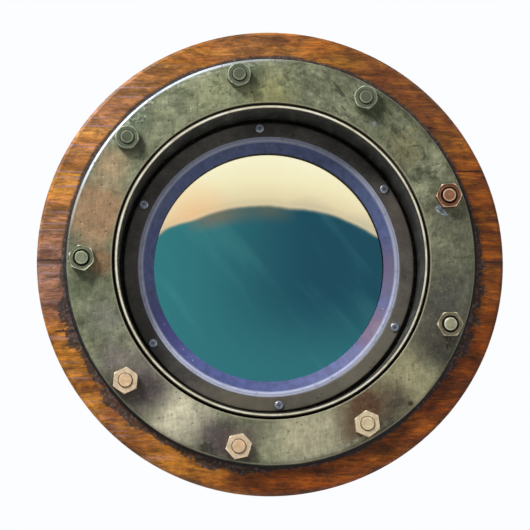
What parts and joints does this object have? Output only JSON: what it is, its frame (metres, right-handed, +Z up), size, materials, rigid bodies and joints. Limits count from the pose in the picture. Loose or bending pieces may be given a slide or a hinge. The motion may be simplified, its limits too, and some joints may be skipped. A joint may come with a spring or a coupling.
{
  "type": "opening porthole",
  "caption": "Round opening porthole: bolted bronze frame on a wooden pad, with a hinged glazed light held shut by swing bolts and wing nuts.",
  "frame": {"origin": "on the porthole's axis, in the plane of the wooden pad's back face", "axes": "+Y along the axis towards the inside of the boat, +Z up, +X towards the hinge"},
  "size_m": [0.344, 0.0892, 0.344],
  "materials": {
    "varnished_wood": "varnished, worn",
    "weathered_bronze": "weathered green-grey patina",
    "cast_bronze": "cast, dull",
    "dark_bronze": "darkened",
    "plain_bronze": "machined, tarnished",
    "steel_screw": "satin",
    "bedding_compound": "matt black",
    "black_rubber": "matt black",
    "blue_rubber": "blue-grey, matt",
    "glass": "clear, faintly sea-green"
  },
  "bodies": {
    "frame": {"pad_upper": "varnished_wood", "pad_lower": "varnished_wood", "trim_ring": "weathered_bronze", "trim_bedding_seal": "bedding_compound", "main_frame": "cast_bronze", "frame_gasket": "black_rubber", "seat_seal": "black_rubber", "frame_bolt_1": "plain_bronze", "frame_bolt_2": "plain_bronze", "frame_bolt_3": "plain_bronze", "frame_bolt_4": "plain_bronze", "frame_bolt_5": "plain_bronze", "frame_bolt_6": "plain_bronze", "frame_bolt_7": "plain_bronze", "frame_bolt_8": "plain_bronze", "frame_bolt_9": "plain_bronze", "frame_nut_1": "plain_bronze", "frame_nut_2": "plain_bronze", "frame_nut_3": "plain_bronze", "frame_nut_4": "plain_bronze", "frame_nut_5": "plain_bronze", "frame_nut_6": "plain_bronze", "frame_nut_7": "plain_bronze", "frame_nut_8": "plain_bronze", "frame_nut_9": "plain_bronze", "hinge_pin": "plain_bronze", "hinge_split_pin": "plain_bronze", "dog_pin_upper": "plain_bronze", "dog_split_pin_upper": "plain_bronze", "dog_pin_lower": "plain_bronze", "dog_split_pin_lower": "plain_bronze"},
    "light": {"light_frame": "cast_bronze", "retaining_ring": "dark_bronze", "glazing_seal": "blue_rubber", "glass_pane": "glass", "glass_back_gasket": "black_rubber", "retaining_screw_1": "steel_screw", "retaining_screw_2": "steel_screw", "retaining_screw_3": "steel_screw", "retaining_screw_4": "steel_screw", "retaining_screw_5": "steel_screw", "retaining_screw_6": "steel_screw"},
    "upper_swing_bolt": {"swing_bolt_upper": "plain_bronze"},
    "upper_washer": {"dog_washer_upper": "plain_bronze"},
    "upper_wing_nut": {"wing_nut_upper": "plain_bronze"},
    "lower_swing_bolt": {"swing_bolt_lower": "plain_bronze"},
    "lower_washer": {"dog_washer_lower": "plain_bronze"},
    "lower_wing_nut": {"wing_nut_lower": "plain_bronze"}
  },
  "joints": [
    {"name": "light_hinge", "type": "hinge", "parent": "frame", "child": "light", "pos_m": [0.13407, 0.0175, 0], "axis": [0, 0, -1], "range_deg": [0, 110]},
    {"name": "upper_dog_swing", "type": "hinge", "parent": "frame", "child": "upper_swing_bolt", "pos_m": [-0.06654, 0.017, 0.11524], "axis": [-0.866, 0, -0.5], "range_deg": [-10, 55]},
    {"name": "upper_nut_travel", "type": "slide", "parent": "upper_swing_bolt", "child": "upper_washer", "axis": [0.4096, -0.5736, -0.7094], "range_m": [0, 0.006]},
    {"name": "upper_nut_turn", "type": "hinge", "parent": "upper_washer", "child": "upper_wing_nut", "pos_m": [-0.06654, 0.017, 0.11524], "axis": [0.4096, -0.5736, -0.7094], "range_deg": [0, 1440]},
    {"name": "lower_dog_swing", "type": "hinge", "parent": "frame", "child": "lower_swing_bolt", "pos_m": [-0.06654, 0.017, -0.11524], "axis": [0.866, 0, -0.5], "range_deg": [-10, 55]},
    {"name": "lower_nut_travel", "type": "slide", "parent": "lower_swing_bolt", "child": "lower_washer", "axis": [0.4096, -0.5736, 0.7094], "range_m": [0, 0.006]},
    {"name": "lower_nut_turn", "type": "hinge", "parent": "lower_washer", "child": "lower_wing_nut", "pos_m": [-0.06654, 0.017, -0.11524], "axis": [0.4096, -0.5736, 0.7094], "range_deg": [0, 1440]}
  ],
  "couplings": [
    {"joint": "upper_nut_travel", "follows": "upper_nut_turn", "m_per_rad": 0.00023873},
    {"joint": "lower_nut_travel", "follows": "lower_nut_turn", "m_per_rad": 0.00023873}
  ]
}
